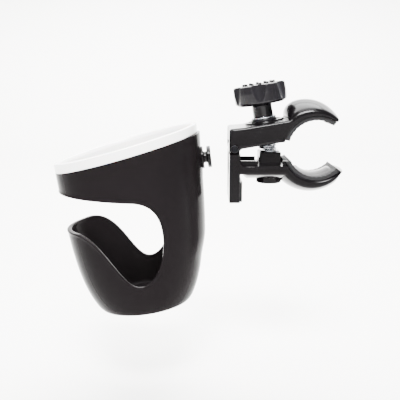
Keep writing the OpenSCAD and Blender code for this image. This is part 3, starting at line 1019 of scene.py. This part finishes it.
@dataclass
class Jaws(Assembly):
    """Both jaws with their pads, the hinge pin and its clip."""

    half: float = 18.0
    seat_r: float = 20.5
    bar_r: float = 17.5
    knuckle_r: float = 3.3
    knuckle_half: float = 10.0
    # upper jaw: the arm's faces in the hinge's frame, the hook's circle, the crest's circle,
    # the direction of the tip, the points on the nose and the hollow down the back
    arm_low: float = -0.9
    arm_top: float = 12.0
    hook_at: tuple[float, float] = (-2.2, 2.2)
    hook_r: float = 21.9
    crest_at: tuple[float, float] = (-5.3, 6.8)
    crest_r: float = 23.4
    upper_tip: float = 54.0
    nose_rows: int = 5
    back_r: float = 70.0
    back_dip: float = 0.7
    # lower jaw: plate, arm, the jaw's circle, the direction of its tip and its fullness
    plate_x: float = -54.2
    plate_t: float = 6.8
    plate_low: float = -34.0
    arm_z: float = -10.7
    arm_t: float = 5.2
    jaw_at: tuple[float, float] = (-2.5, -2.5)
    jaw_t: float = 1.2
    lower_tip: float = 318.0
    fullness: float = 4.4
    # the keyhole: the stud's head goes in at the top and drops behind the lip
    key_top: float = -10.4
    key_mouth: float = -11.8
    key_seat: float = -23.3
    mouth_r: float = 7.6
    neck_r: float = 3.8
    room_r: float = 7.52
    room_depth: float = 3.0
    lip: float = 1.9
    # the nut's axis, and the screw's chamber below it
    nut_x: float = -27.421
    nut_z: float = -8.204
    screw_off: float = 0.2
    chamber_r: float = 6.1
    boss_top: float = -13.0
    boss_low: float = -23.4

    def upper_outline(self) -> tuple[np.ndarray, np.ndarray]:
        """Side outline of the upper jaw and the crown's height at each of its points.

        Returns:
            Anticlockwise loop of points, and the rise of the middle at each.
        """
        side, root_run, root_rest = 1.2, 9.0, 0.3  # longest side, the crest's fall at the root
        u = np.linspace(4, 40, 2000)
        under, over = (leaning(np.stack([u, np.full_like(u, h)], 1))
                       for h in (self.arm_low, self.arm_top))
        c, r = np.array(self.hook_at), self.hook_r
        meet_under = under[np.argmax(np.hypot(*under.T) < self.seat_r)]
        meet_over = over[np.argmax(np.hypot(*(over - c).T) < r)]
        tip_out = tip_of(self.upper_tip, c, r)
        arm = leaning([(8, self.arm_top), (0.1, self.arm_top + 0.6), (-1.2, self.arm_top + 0.2),
                       (-self.knuckle_r, 0.6)])
        round_back = leaning(arc(0, 0, self.knuckle_r, 180, 300, 10))
        corners = filleted([(*meet_over, 0), (*arm[0], 6), (*arm[1], 2.2), (*arm[2], 2.0),
                            (*arm[3], 0)], closed=False, steps=7)
        top = np.vstack([resample(corners[i:i + 2], max(2, int(np.linalg.norm(
            corners[i + 1] - corners[i]) / side) + 1))[:-1] for i in range(len(corners) - 1)])
        belly = resample(np.vstack([round_back[-1], leaning([(4.4, self.arm_low)]),
                                    meet_under]), 34)[1:-1]
        hook = arc(*c, r, bearing(tip_out, c) + 4, bearing(meet_over, c), 0.8)[:-1]
        inner = arc(0, 0, self.seat_r, bearing(meet_under) % 360, self.upper_tip, 2.0)
        nose = filleted([(*inner[-2], 0), (*inner[-1], 0.5), (*tip_out, 1.0), (*hook[0], 0)],
                        closed=False, steps=4)[1:-1]
        loop = np.vstack([hook, top, round_back, belly, inner[:-1], nose])
        # the crest is a circle of its own; it drops round to the arm at the hook's root
        crown = np.zeros(len(loop))
        for rows in (slice(0, len(hook)), slice(len(loop) - self.nose_rows, None)):
            p = loop[rows]
            n = (p - c) / np.linalg.norm(p - c, axis=1, keepdims=True)
            q = p - self.crest_at
            b = (q * n).sum(1)
            crown[rows] = np.sqrt(np.maximum(
                b * b - (q * q).sum(1) + self.crest_r ** 2, 0)) - b
        s = along(hook)
        left = np.clip((s[-1] - s + root_rest) / root_run, 0, 1)
        crown[:len(hook)] *= np.sqrt(1 - (1 - left) ** 2)
        crown[-self.nose_rows:] *= np.linspace(0.45, 0.95, self.nose_rows)
        return loop, crown

    def upper(self) -> bpy.types.Object:
        """The upper jaw: arm, crowned hook and the boss under the knob.

        Returns:
            The closed piece.
        """
        hook_rim, seat_rim, arm_rim = 2.4, 0.4, 1.6
        loop, crown = self.upper_outline()
        hook, seat = crown > 0, np.hypot(*loop.T) < self.seat_r + 0.1
        hook[-self.nose_rows:] = False
        body = Skin().block(loop, self.half, np.where(
            hook, hook_rim, np.where(seat, seat_rim, arm_rim)), crown, steps=29,
            share=np.where(hook, 1.35, 0.7))
        piece = cut(body.mesh("upper_jaw_body", sharp=40), [
            # room for the lower jaw's knuckle
            brick((PIN_X - 9, PIN_X + self.knuckle_r + 0.3),
                  (-self.knuckle_half - 0.2, self.knuckle_half + 0.2), (-8, 3.7)),
            # room for the spring's end
            rod(0, 0, self.arm_low - 6, 7.2, 8.5, Axis.Z, SCREW),
            # hollow down the back, which follows the cup's round wall
            rod(PIN_X - self.knuckle_r + self.back_dip - self.back_r, 0, -5, self.back_r, 28,
                Axis.Z, steps=360)])
        boss = filleted([(4.2, 8.0, 0), (15.6, 8.0, 0), (15.6, 12.04, 0), (12.5, 12.1, 1.2),
                         (12.2, 13.3, 0.6), (10.3, 13.3, 0.25), (10.0, 12.7, 0.3),
                         (9.35, 12.7, 0.3), (8.9, 12.5, 0.2), (7.6, 9.2, 1), (4.2, 8.6, 0)],
                        steps=5)
        return joined(piece, [Skin(SCREW).turned(boss, steps=120).mesh("boss", sharp=45)])

    def lower_outline(self) -> tuple[np.ndarray, np.ndarray]:
        """Side outline of the lower jaw and the crown at each of its points.

        Returns:
            Anticlockwise loop of points, and how far the middle stands out at each.
        """
        back, low = self.plate_x + self.plate_t, self.arm_z - self.arm_t
        c, r = np.array(self.jaw_at), self.seat_r + self.jaw_t
        tip_out = tip_of(self.lower_tip, c, r)
        meet = c + [-math.sqrt(r * r - (low - c[1]) ** 2), low - c[1]]
        top_x = -math.sqrt(self.seat_r ** 2 - self.arm_z ** 2)
        root = 1.2  # fillet between plate and arm
        down = filleted([(self.plate_x, 0, 0), (self.plate_x, self.plate_low, 0.9),
                         (back, self.plate_low, 0.9), (back, low, root),
                         (back + root, low, 0)], closed=False, steps=4)
        arm_under = resample(np.array([[back + root, low], [*meet]]), 24)
        jaw = arc(*c, r, bearing(meet, c) % 360, bearing(tip_out, c) % 360, 2.0)
        inner = arc(0, 0, self.seat_r, self.lower_tip,
                    bearing(np.array([top_x, self.arm_z])) % 360, 2.0)
        plate = filleted([(top_x, self.arm_z, 0), (back, self.arm_z, 5.0), (back, -0.3, 0)],
                         closed=False, steps=9)
        knuckle = arc(PIN_X, 0, self.knuckle_r, 0, 180, 9)
        fine = np.vstack([down, arm_under[1:], jaw[1:], inner, plate[1:], knuckle])
        gap = np.linalg.norm(np.roll(fine, -1, 0) - fine, axis=1)
        loop = fine[gap > 1e-4]
        # the underside swells over 5 mm from the plate and is half as full at the tip
        x, z = loop.T
        swell_run, tip_run = 5, 5
        under = (z < low + 0.05) & (x > back) | (np.abs(np.hypot(x - c[0], z - c[1]) - r) < 0.02)
        fade = 1 - ease((x - tip_out[0] + tip_run) / tip_run) * 0.5
        crown = np.where(under & (z < self.arm_z), self.fullness
                         * ease(np.clip((x - back) / swell_run, 0, 1)) * fade, 0.0)
        return loop, crown

    def lower(self) -> bpy.types.Object:
        """The lower jaw: plate with its keyhole, arm, tower, nut's boss and jaw.

        Returns:
            The closed piece.
        """
        loop, crown = self.lower_outline()
        piece = Skin().block(loop, self.half, 0.9, crown, steps=29).mesh(
            "lower_jaw_body", sharp=40)
        x, back, beyond = self.plate_x, self.plate_x + self.plate_t, 26
        line_depth, line_half = 0.15, 0.12
        chamber = (self.nut_x + self.screw_off, 0, -25.0, self.chamber_r, self.nut_z + 25.0,
                   Axis.Z)
        shoulders = [brick((x - 3, back + 3), (s * beyond, s * self.knuckle_half)[::s],
                           (-self.knuckle_r - 0.2, 6)) for s in (1, -1)]
        keyhole = [slot(x - 1, self.key_mouth, self.key_top, self.mouth_r, self.lip + 1.3),
                   slot(x - 1.1, self.key_seat, self.key_top, self.neck_r, self.lip + 1.6),
                   slot(x + self.lip, self.key_seat, self.key_top, self.room_r,
                        self.room_depth)]
        # fine line round the plate at the level of the arm's top
        line = [brick((x - 1, back + 1), (s * (self.half - line_depth), s * (self.half + 1))[::s],
                      (self.arm_z - line_half, self.arm_z + line_half)) for s in (1, -1)]
        piece = cut(piece, [rod(*chamber), *shoulders, *keyhole, *line])
        box = filleted([(self.nut_x - 7.6, -14, 0), (self.nut_x + 6.4, -14, 0),
                        (self.nut_x + 6.2, -2.9, 0.8), (self.nut_x - 7.4, -2.9, 0.8)], steps=4)
        tower = cut(Skin().block(box, 9.0, 0.8, steps=7).mesh("tower"), [
            rod(self.nut_x, -7, self.nut_z, 5.05, 20, Axis.Y), rod(*chamber),
            brick((self.nut_x - 5, self.nut_x + 4), (-3.6, 3.6), (self.nut_z, 0))])
        cone = filleted([(0, self.boss_top, 0), (8.2, self.boss_top, 0),
                         (8.05, self.boss_low, 1.3), (0, self.boss_low, 0)],
                        closed=False, steps=5)
        boss = Skin(Place((self.nut_x - 0.6, 0, 0))).turned(cone, closed=False, steps=80)
        boss = cut(boss.mesh("boss"), [
            rod(*chamber), rod(self.nut_x + self.screw_off, 0, -25.0, 6.7, 3.2, Axis.Z)])
        return joined(piece, [tower, boss, *self.ribs()])

    def ribs(self) -> list[bpy.types.Object]:
        """Two low ribs a side, from the plate to the tower and from the tower to the jaw.

        Returns:
            The four closed ribs.
        """
        made = []
        for side in (1, -1):
            for start, end in ((self.plate_x + self.plate_t, self.nut_x - 8.6),
                               (self.nut_x + 7.4, -17.0)):
                rib = Skin(Place((0, side * 12.2, 0)))
                rib.block(filleted([(start - 0.5, -12, 0), (end, -12, 0), (end, -7.9, 0.5),
                                    (start - 0.5, -7.9, 0)], steps=3), 1.1, 0.35, steps=5)
                made.append(rib.mesh("rib"))
        return made

    def pad(self, start: float, end: float, name: str) -> bpy.types.Object:
        """A rubber pad between two angles, with shallow ribs across its inner face.

        The inner radius is the bar's at each rib and a fifth of a millimetre more between
        them; the ribs are 3.2 mm apart.

        Args:
            start: first angle in degrees.
            end: last angle in degrees.
            name: name of the piece.

        Returns:
            The closed piece.
        """
        spacing, groove, clear, mean_r = 3.2, 0.18, 0.02, 18.9
        a = np.radians(np.linspace(end - 1, start + 1, 220))
        ribs = 0.5 + 0.5 * np.cos(a * mean_r / spacing * 2 * math.pi)
        r = self.bar_r + clear + groove * ease(ribs * 1.6 - 0.5)
        inner = np.stack([r * np.cos(a), r * np.sin(a)], 1)
        outer = arc(0, 0, self.seat_r - 0.08, start + 0.6, end - 0.6, 2.0)
        skin = Skin().block(np.vstack([outer, inner]), self.half - 1.5, 0.6, steps=9)
        return skin.mesh(name, sharp=50)

    def build(self) -> None:
        """Builds and dresses the jaws and what hinges them."""
        self.fit(self.upper(), "upper_clamp", "upper_jaw", Finishes.JAW)
        self.fit(self.lower(), "lower_clamp", "lower_jaw", Finishes.JAW)
        self.fit(self.pad(self.upper_tip, 165, "upper_pad_ribbed"), "upper_clamp", "upper_pad",
                 Finishes.RUBBER)
        self.fit(self.pad(203.5, self.lower_tip, "lower_pad_ribbed"), "lower_clamp",
                 "lower_pad", Finishes.RUBBER)
        at_pin = Place((PIN_X, 0, 0))
        pin = filleted([(0, -19.3, 0), (2.3, -19.3, 0.5), (2.3, -18.1, 0.15), (1.45, -18.1, 0),
                        (1.45, 18.1, 0.3), (0, 18.1, 0)], closed=False, steps=4)
        self.fit(Skin(at_pin).turned(pin, Axis.Y, 64, closed=False).mesh("hinge_pin_turned"),
                 "lower_clamp", "hinge_pin", Finishes.BLACKED)
        clip = filleted([(1.46, 18.1, 0), (2.6, 18.1, 0.15), (2.6, 18.9, 0.3),
                         (1.46, 18.9, 0.1)], steps=4)
        self.fit(Skin(at_pin).turned(clip, Axis.Y, 64).mesh("hinge_clip_pressed"),
                 "lower_clamp", "hinge_clip", Finishes.BLACKED)
        self.keep("keyhole_cover", Finishes.JAW)
        self.keep("cover_screws", Finishes.ZINC)


@dataclass
class ScrewSet(Assembly):
    """The knob, its screw, the washers, the nut and the spring, along the screw's axis."""

    knob_r: float = 16.7
    knob_h: float = 12.4
    grip_v: float = 23.8
    stem_r: float = 6.4
    stem_h: float = 8.2
    bore_r: float = 3.05
    disc_t: float = 1.15
    # the flutes: their number, where the first stands, their radius and distance at the grip's
    # foot and how much both change up to its top
    lobes: int = 6
    first_flute: float = -36.0
    flute_r: float = 4.7
    flute_growth: float = 0.9
    flute_out: float = 4.5
    flute_lean: float = 2.2
    pips: int = 12
    screw_r: float = 3.0
    pitch: float = 1.0
    screw_end: float = -22.0
    coil_r: float = 5.7
    wire_r: float = 0.55
    coils: int = 5

    @property
    def disc_v(self) -> float:
        """Height of the disc's underside over the hinge's level."""
        return self.grip_v + self.knob_h - self.disc_t

    def knob(self) -> bpy.types.Object:
        """The knob: a rounded profile carried round, with six flutes scooped out of it.

        Along the direction at an angle f from a flute's centre, a flute of radius q whose
        axis stands d away cuts the grip at d cos f - sqrt(q^2 - d^2 sin^2 f). The radius is
        a soft minimum of that and the plain profile.

        Returns:
            The closed piece.
        """
        nowhere, soft = 99.0, 0.5
        g, h, r = self.grip_v, self.knob_h, self.knob_r
        line = resample(filleted([
            (self.bore_r, g - self.stem_h, 0), (self.stem_r, g - self.stem_h, 0.5),
            (self.stem_r - 0.2, g - 0.6, 1.2), (r - 2.6, g + 0.02, 0.6), (r - 0.4, g + 1.4, 1.4),
            (r, g + h * 0.6, 6.0), (r - 0.35, g + h, 1.7), (r - 4.4, g + h, 0.4),
            (r - 4.55, self.disc_v, 0.2), (self.bore_r, self.disc_v, 0)],
            closed=False, steps=8), 190)
        a = around(360)
        sector = 2 * math.pi / self.lobes
        f = (a - math.radians(self.first_flute) + sector / 2) % sector - sector / 2
        rise = np.clip((line[:, 1] - g) / h, 0, 1)[None]
        q = self.flute_r + self.flute_growth * rise
        d = r + self.flute_out - self.flute_lean * rise
        under = q ** 2 - (d * np.sin(f)) ** 2
        flute = np.where(under > 0, d * np.cos(f) - np.sqrt(np.maximum(under, 0)), nowhere)
        plain = line[:, 0][None] + 0 * a
        gap = np.clip(0.5 + 0.5 * (flute - plain) / soft, 0, 1)
        blended = flute * (1 - gap) + plain * gap - soft * gap * (1 - gap)
        side = (line[:, 1] > g - 0.3) & (line[:, 0] > r - 4.7)
        radius = np.where(side[None], np.minimum(plain, blended), plain)
        bore = np.array([line[0], [self.bore_r, g + 5], line[-1]])
        skin = Skin(SCREW).grid(polar(radius, a, line[:, 1]), wrap_u=True)
        skin.grid(polar(bore[:, 0], a, bore[:, 1]), wrap_u=True)
        return skin.mesh("knob_fluted", sharp=50)

    def cap(self) -> bpy.types.Object:
        """The disc in the knob's top: a shallow dish with a ring of domed pips.

        Returns:
            The closed piece.
        """
        v, rim = self.disc_v, self.knob_r - 4.6
        skin = Skin(SCREW).turned(filleted([
            (0, v, 0), (rim, v, 0.1), (rim, v + 1.15, 0.4), (8.2, v + 1.15, 0.4),
            (7.4, v + 0.75, 0.4), (2.6, v + 0.75, 0.5), (0, v + 0.95, 0)],
            closed=False, steps=4), closed=False, steps=96)
        pip = filleted([(0, v + 0.9, 0), (0.98, v + 0.9, 0), (0.98, v + 2.4, 0.45),
                        (0, v + 2.42, 0)], closed=False, steps=5)
        dome = polar(pip[:, 0], around(24), pip[:, 1])
        for turn in around(self.pips)[:, 0]:
            centre = np.array([math.cos(turn), math.sin(turn), 0]) * (self.knob_r - 7.2)
            skin.grid(dome + centre, wrap_u=True)
        return skin.mesh("knob_cap_pips", sharp=40)

    def thread(self) -> bpy.types.Object:
        """The screw: a cylinder whose radius falls between crests that climb a pitch a turn.

        Returns:
            The closed piece.
        """
        depth, clear, step = 0.55, 0.02, 0.125
        shank_r, shank_v = self.screw_r - clear, self.grip_v - 7.5
        v = np.arange(self.screw_end + 0.6, shank_v - 0.1, step)
        a = around(40)
        phase = (v[None] / self.pitch - a / (2 * math.pi)) % 1.0
        crest = np.abs(2 * phase - 1)
        r = shank_r - depth * ease(1.15 * crest - 0.08)
        ends = np.array([[0, self.screw_end], [2.3, self.screw_end]])
        top = np.array([[shank_r, shank_v], [shank_r, self.grip_v + 5], [0, self.grip_v + 5]])
        radius = np.hstack([ends[:, 0] + 0 * a, r, top[:, 0] + 0 * a])
        height = np.concatenate([ends[:, 1], v, top[:, 1]])
        skin = Skin(SCREW).grid(polar(radius, a, height), wrap_u=True)
        return skin.mesh("clamp_screw_threaded", sharp=60)

    def spring(self) -> bpy.types.Object:
        """The spring: wire along a helix whose turns lie on circles about the hinge pin.

        Its first and last turns lie nearly flat, as closed ends do.

        Returns:
            The closed piece.
        """
        foot_z, head_v, end_climb = -1.2, 0.4, 0.1
        low = math.atan(foot_z / SCREW_OUT)
        high = math.radians(JAW_LEAN) + math.atan(head_v / SCREW_OUT)
        t = np.linspace(0, self.coils, 48 * self.coils + 1)
        last = self.coils - 1
        climb = np.where(t < 1, end_climb * t, np.where(
            t > last, 1 - end_climb * (self.coils - t),
            end_climb + (1 - 2 * end_climb) * (t - 1) / (last - 1)))
        up = (low + (high - low) * climb)[:, None]
        turn = (2 * math.pi * t)[:, None]
        k = around(14).T
        arm = self.coil_r - self.wire_r + self.wire_r * np.cos(k)
        d, lift = SCREW_OUT + arm * np.cos(turn), self.wire_r * np.sin(k)
        p = np.stack([PIN_X + d * np.cos(up) - lift * np.sin(up), arm * np.sin(turn),
                      d * np.sin(up) + lift * np.cos(up)], -1)
        skin = Skin().grid(p, wrap_v=True).cap(p[0]).cap(p[-1])
        return skin.mesh("spring_wound", weld=1e-8, sharp=50)

    def washer(self, name: str, corners: Corners, place: Place = SCREW) -> bpy.types.Object:
        """A ring turned about the screw's axis or about a place of its own."""
        return Skin(place).turned(filleted(corners)).mesh(name, sharp=45)

    def build(self) -> None:
        """Builds and dresses everything along the screw."""
        self.fit(self.knob(), "knob_and_screw", "knob", Finishes.KNOB)
        self.fit(self.cap(), "knob_and_screw", "knob_cap", Finishes.KNOB)
        self.fit(self.thread(), "knob_and_screw", "clamp_screw", Finishes.ZINC)
        self.fit(self.washer("dome_washer_moulded", [
            (3.3, 8.9, 0.2), (7.2, 8.9, 0.4), (8.0, 10.2, 1.5), (8.08, 14.55, 0.5),
            (6.6, 14.6, 0.2), (3.3, 14.6, 0.2)]), "screw_seat", "dome_washer", Finishes.KNOB)
        self.fit(self.washer("thrust_washer_pressed", [
            (3.25, 14.6, 0.1), (7.7, 14.6, 0.3), (7.7, 15.6, 0.3), (3.25, 15.6, 0.1)]),
            "screw_seat", "thrust_washer", Finishes.ZINC)
        e = self.screw_end
        self.fit(self.washer("stop_ring_pressed", [
            (3.0, e + 0.3, 0.1), (3.9, e + 0.3, 0.2), (3.9, e + 1.2, 0.2), (3.0, e + 1.2, 0.1)]),
            "knob_and_screw", "stop_ring", Finishes.TURNED)
        self.fit(self.washer("spring_seat_pressed", [
            (4.5, -2.9, 0.1), (6.3, -2.9, 0.2), (6.3, -2.3, 0.2), (4.5, -2.3, 0.1)],
            Place((-27.821, 0, 0))), "lower_clamp", "spring_seat", Finishes.ZINC)
        plug = filleted([(0, -22.0, 0), (6.65, -22.0, 0.1), (6.65, -23.4, 0.4),
                         (5.0, -23.4, 0.2), (4.6, -23.1, 0.2), (0, -23.1, 0)],
                        closed=False, steps=4)
        self.fit(Skin(Place((-27.221, 0, 0))).turned(plug, closed=False, steps=72).mesh(
            "nut_cap_plug"), "lower_clamp", "nut_cap", Finishes.JAW)
        spring = self.spring()
        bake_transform(spring)
        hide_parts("spring")
        self.dresser.dress(spring, Finishes.WIRE)
        log.info("%s: bends between the jaws", spring.name)
        self.keep("rocking_nut", Finishes.TURNED)


# ---------------------------------------------------------------------- studio
@dataclass
class Studio:
    """Pale floor, soft lights and the camera."""

    floor_z: float = -165.0
    floor_reach: float = 15000.0
    floor_back: float = 3600.0
    rise_from: float = 1500.0
    rise_run: float = 2000.0
    rise: float = 900.0
    camera_at: tuple[float, float, float] = (-72.45, -430.0, 46.0)
    pitch: float = 10.7
    lens: float = 60.3

    def floor(self) -> None:
        """A pale sheet that runs flat under the object and curves up far behind it."""
        y = np.linspace(-self.floor_reach, self.floor_back, 187)
        z = self.floor_z + self.rise * ease((y - self.rise_from) / self.rise_run)
        x = np.linspace(-self.floor_reach, self.floor_reach, 9)[:, None]
        piece = Skin().grid(np.stack(np.broadcast_arrays(x, y, z), -1)).mesh("studio_floor")
        # Uncoated paper: an even, warm white with no highlight of its own
        mat = bpy.data.materials.new("paper_matt")
        mat.use_nodes = True
        shader = mat.node_tree.nodes["Principled BSDF"]
        shader.inputs["Base Color"].default_value = linear("#f6f5f3")
        shader.inputs["Roughness"].default_value = 0.9
        shader.inputs["Specular IOR Level"].default_value = 0.1
        piece.data.materials.append(mat)

    def light(self, name: str, at: Sequence[float], aim: Sequence[float],
              size: tuple[float, float], power: float, hue: str = "#ffffff",
              spread: float = 180.0) -> None:
        """A soft box.

        Args:
            name: name of the light.
            at: its centre in mm.
            aim: the point in mm that it faces.
            size: its width and height in mm.
            power: its power in watts.
            hue: sRGB value of its light.
            spread: full angle in degrees into which it shines.
        """
        data = bpy.data.lights.new(name, "AREA")
        data.shape, data.size, data.size_y = "RECTANGLE", size[0] * MM, size[1] * MM
        data.energy, data.color, data.spread = power, linear(hue)[:3], math.radians(spread)
        lamp = bpy.data.objects.new(name, data)
        start, goal = np.array(at) * MM, np.array(aim) * MM
        lamp.location = start
        lamp.rotation_euler = Vector(goal - start).to_track_quat("-Z", "Y").to_euler()
        bpy.context.scene.collection.objects.link(lamp)

    def world(self) -> None:
        """Light from all around: bright behind the object, dim before it and low down."""
        world = bpy.data.worlds.new("studio_air")
        bpy.context.scene.world = world
        world.use_nodes = True
        tree = world.node_tree
        tree.nodes.clear()
        split = add(tree, "ShaderNodeSeparateXYZ", {
            "Vector": add(tree, "ShaderNodeTexCoord").outputs["Generated"]})
        behind = add(tree, "ShaderNodeMapRange", {"Value": split.outputs["Y"]},
                     {"From Min": 0.1, "From Max": 0.75, "To Min": 0.0, "To Max": 2.7})
        above = add(tree, "ShaderNodeMapRange", {"Value": split.outputs["Z"]},
                    {"From Min": -0.06, "From Max": 0.05, "To Min": 0.1, "To Max": 0.85})
        both = add(tree, "ShaderNodeMath", {0: behind.outputs[0], 1: above.outputs[0]},
                   operation="ADD")
        back = add(tree, "ShaderNodeBackground", {"Strength": both.outputs[0]},
                   {"Color": linear("#fbfaf8")})
        add(tree, "ShaderNodeOutputWorld", {"Surface": back.outputs[0]})

    def camera(self) -> None:
        """The camera, looking along +Y and a little down."""
        data = bpy.data.cameras.new("camera")
        data.lens, data.sensor_width, data.clip_start = self.lens, 36.0, 0.01
        eye = bpy.data.objects.new("camera", data)
        eye.location = np.array(self.camera_at) * MM
        eye.rotation_euler = (math.radians(90 - self.pitch), 0, 0)
        bpy.context.scene.collection.objects.link(eye)
        bpy.context.scene.camera = eye

    def build(self) -> None:
        """Builds the floor, the lights and the camera."""
        self.floor()
        self.world()
        self.light("top_box", (-80, 260, 760), (-60, 0, 0), (800, 560), 32)
        self.light("back_box", (-100, 900, 500), (-80, 0, -30), (1600, 700), 16)
        self.light("floor_wash", (-80, 420, 560), (-80, 420, -165), (1900, 700), 27)
        self.light("sheet_wash", (-80, 1300, 1300), (-80, 2600, 100), (2600, 900), 340)
        self.light("front_top", (-80, -200, 900), (-90, 0, 0), (500, 300), 9)
        self.light("front_card", (-80, -1000, 80), (-80, 0, 40), (1300, 260), 5.5)
        self.light("front_key", (-100, -700, 760), (-90, 0, -10), (420, 260), 5, spread=50)
        self.light("right_strip", (420, 60, 160), (-70, 0, -40), (160, 700), 0.8, "#dfe8ff")
        self.camera()


def main() -> None:
    """Builds the object and the studio."""
    logging.basicConfig(level=logging.INFO, format="%(message)s")
    dresser = Dresser()
    for part in (CupSide(dresser), Jaws(dresser), ScrewSet(dresser), Studio()):
        part.build()


if __name__ == "__main__":
    main()
